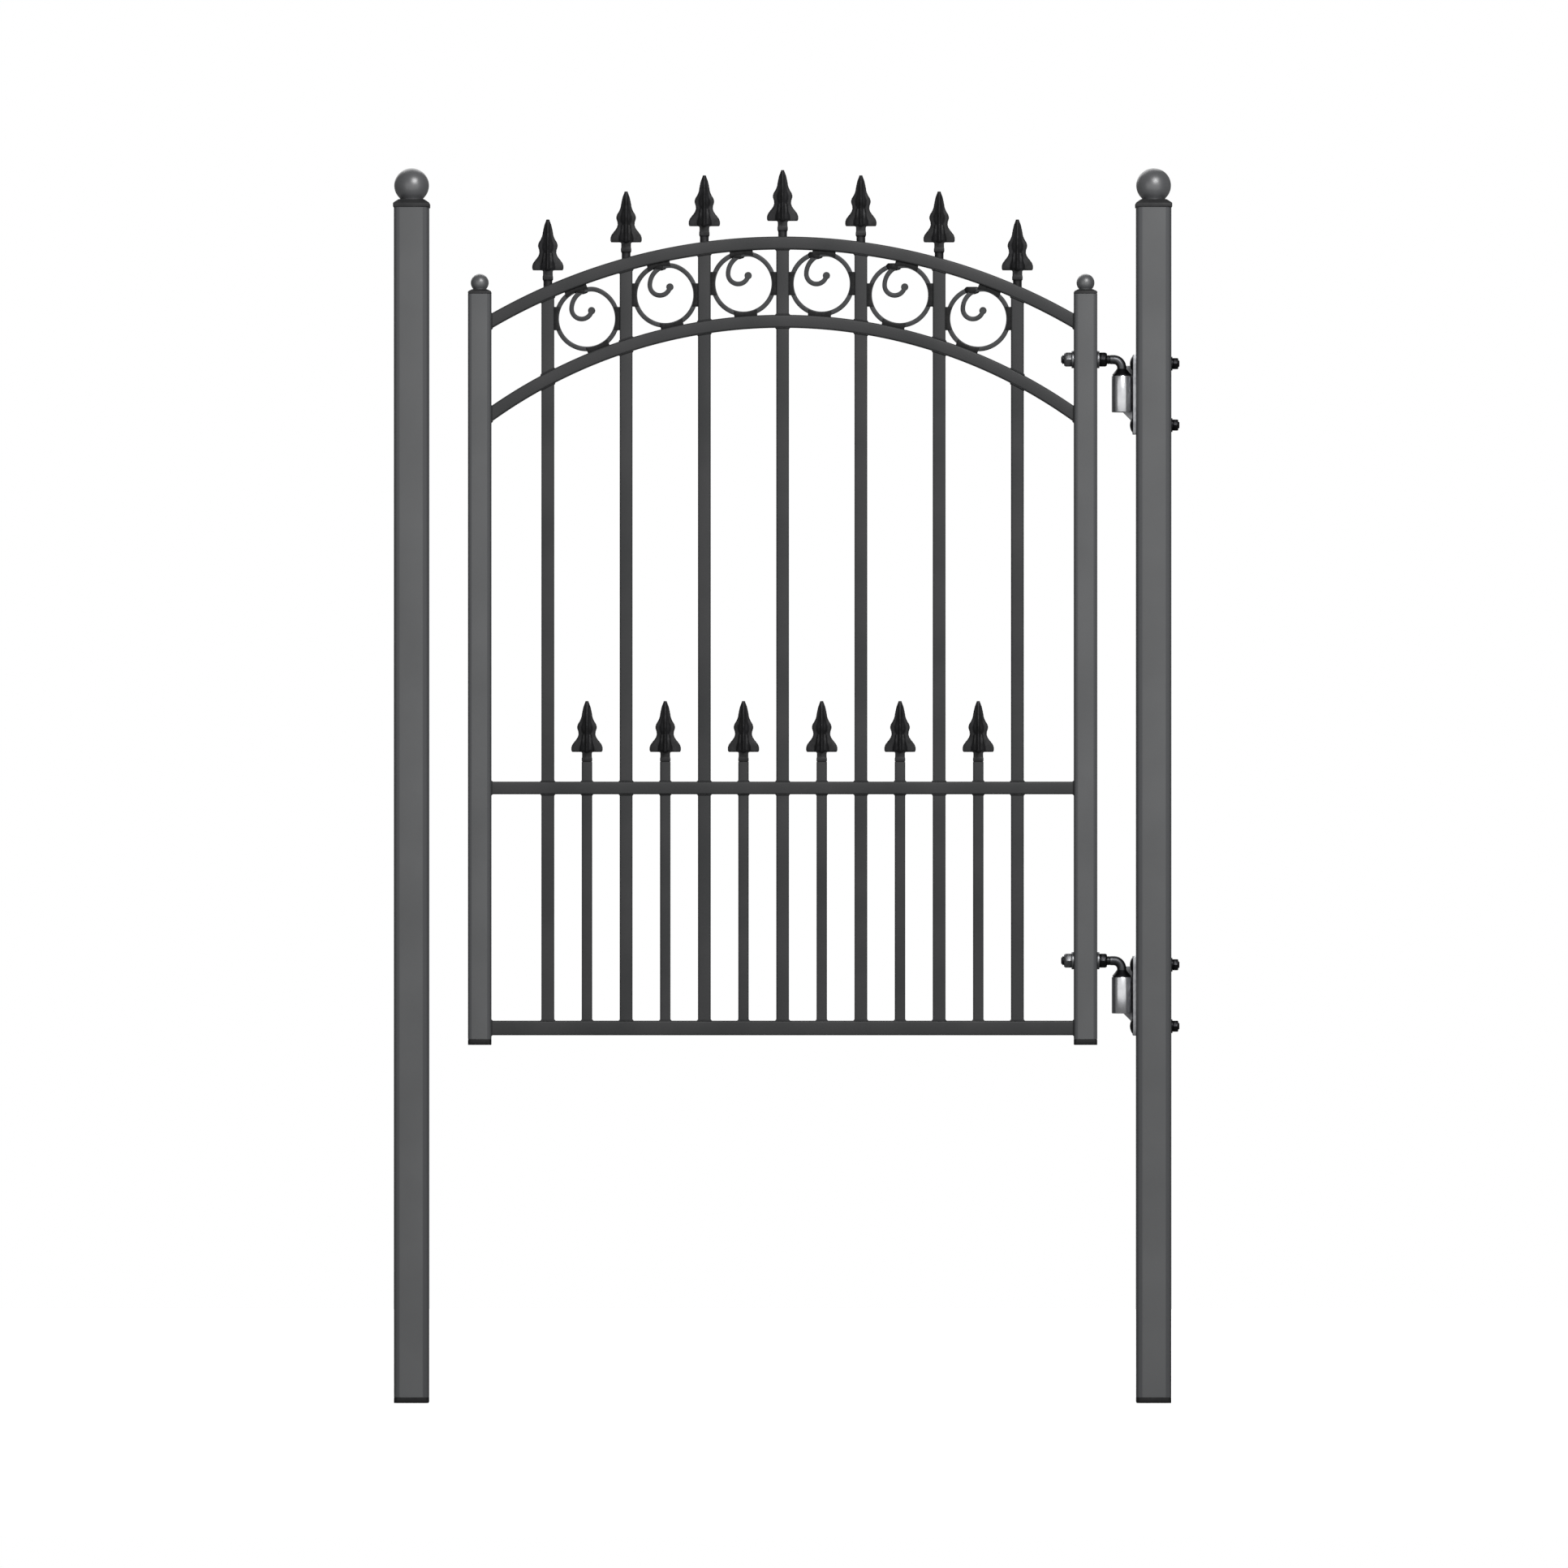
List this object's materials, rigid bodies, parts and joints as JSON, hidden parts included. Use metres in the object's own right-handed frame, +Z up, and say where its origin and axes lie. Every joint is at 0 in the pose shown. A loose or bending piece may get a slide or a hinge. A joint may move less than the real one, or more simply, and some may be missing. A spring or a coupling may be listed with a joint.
{
  "type": "garden gate",
  "caption": "Arched ornamental steel pedestrian gate leaf with spear finials and scrolls, hung on lift-off J-bolt hinges between two square posts with ball caps.",
  "frame": {"origin": "centre of the hinge post's foot face, level with the feet of both posts", "axes": "+Z up along the posts; +X from the leaf towards the hinge post, along the fence line; +Y through the gate, from the side the picture shows to the far side"},
  "size_m": [1.3559, 0.0628, 2.1292],
  "materials": {
    "frame_tube": "satin",
    "infill_tube": "satin",
    "scroll_bar": "satin",
    "cast_spear": "satin",
    "ball_cap": "gloss",
    "foot_plug": "matte",
    "hinge_plate": "satin",
    "hinge_barrel": "satin",
    "j_bolt": "satin",
    "washer": "satin",
    "dark_fastener": "satin"
  },
  "bodies": {
    "posts": {"hinge_post": "frame_tube", "closing_post": "frame_tube", "hinge_post_ball_cap": "ball_cap", "closing_post_ball_cap": "ball_cap", "hinge_post_foot_plug": "foot_plug", "closing_post_foot_plug": "foot_plug", "upper_hinge_plate": "hinge_plate", "lower_hinge_plate": "hinge_plate", "upper_hinge_barrel": "hinge_barrel", "lower_hinge_barrel": "hinge_barrel", "plate_bolts": "dark_fastener", "plate_washers": "dark_fastener", "plate_nuts": "dark_fastener"},
    "leaf": {"hinge_stile": "frame_tube", "closing_stile": "frame_tube", "hinge_stile_ball_cap": "ball_cap", "closing_stile_ball_cap": "ball_cap", "hinge_stile_foot_plug": "foot_plug", "closing_stile_foot_plug": "foot_plug", "top_arch_rail": "infill_tube", "lower_arch_rail": "infill_tube", "mid_rail": "infill_tube", "bottom_rail": "infill_tube", "upper_j_bolt": "j_bolt", "lower_j_bolt": "j_bolt", "j_bolt_washers": "washer", "j_bolt_nuts": "dark_fastener", "picket_1": "infill_tube", "picket_2": "infill_tube", "picket_3": "infill_tube", "picket_4": "infill_tube", "picket_5": "infill_tube", "picket_6": "infill_tube", "picket_7": "infill_tube", "top_spear_1": "cast_spear", "top_spear_2": "cast_spear", "top_spear_3": "cast_spear", "top_spear_4": "cast_spear", "top_spear_5": "cast_spear", "top_spear_6": "cast_spear", "top_spear_7": "cast_spear", "short_picket_1": "infill_tube", "short_picket_2": "infill_tube", "short_picket_3": "infill_tube", "short_picket_4": "infill_tube", "short_picket_5": "infill_tube", "short_picket_6": "infill_tube", "low_spear_1": "cast_spear", "low_spear_2": "cast_spear", "low_spear_3": "cast_spear", "low_spear_4": "cast_spear", "low_spear_5": "cast_spear", "low_spear_6": "cast_spear", "scroll_1": "scroll_bar", "scroll_2": "scroll_bar", "scroll_3": "scroll_bar", "scroll_4": "scroll_bar", "scroll_5": "scroll_bar", "scroll_6": "scroll_bar"}
  },
  "joints": [
    {"name": "gate_swing", "type": "hinge", "parent": "posts", "child": "leaf", "pos_m": [-0.055, 0, 0], "axis": [0, 0, 1], "range_deg": [-100, 100]}
  ]
}
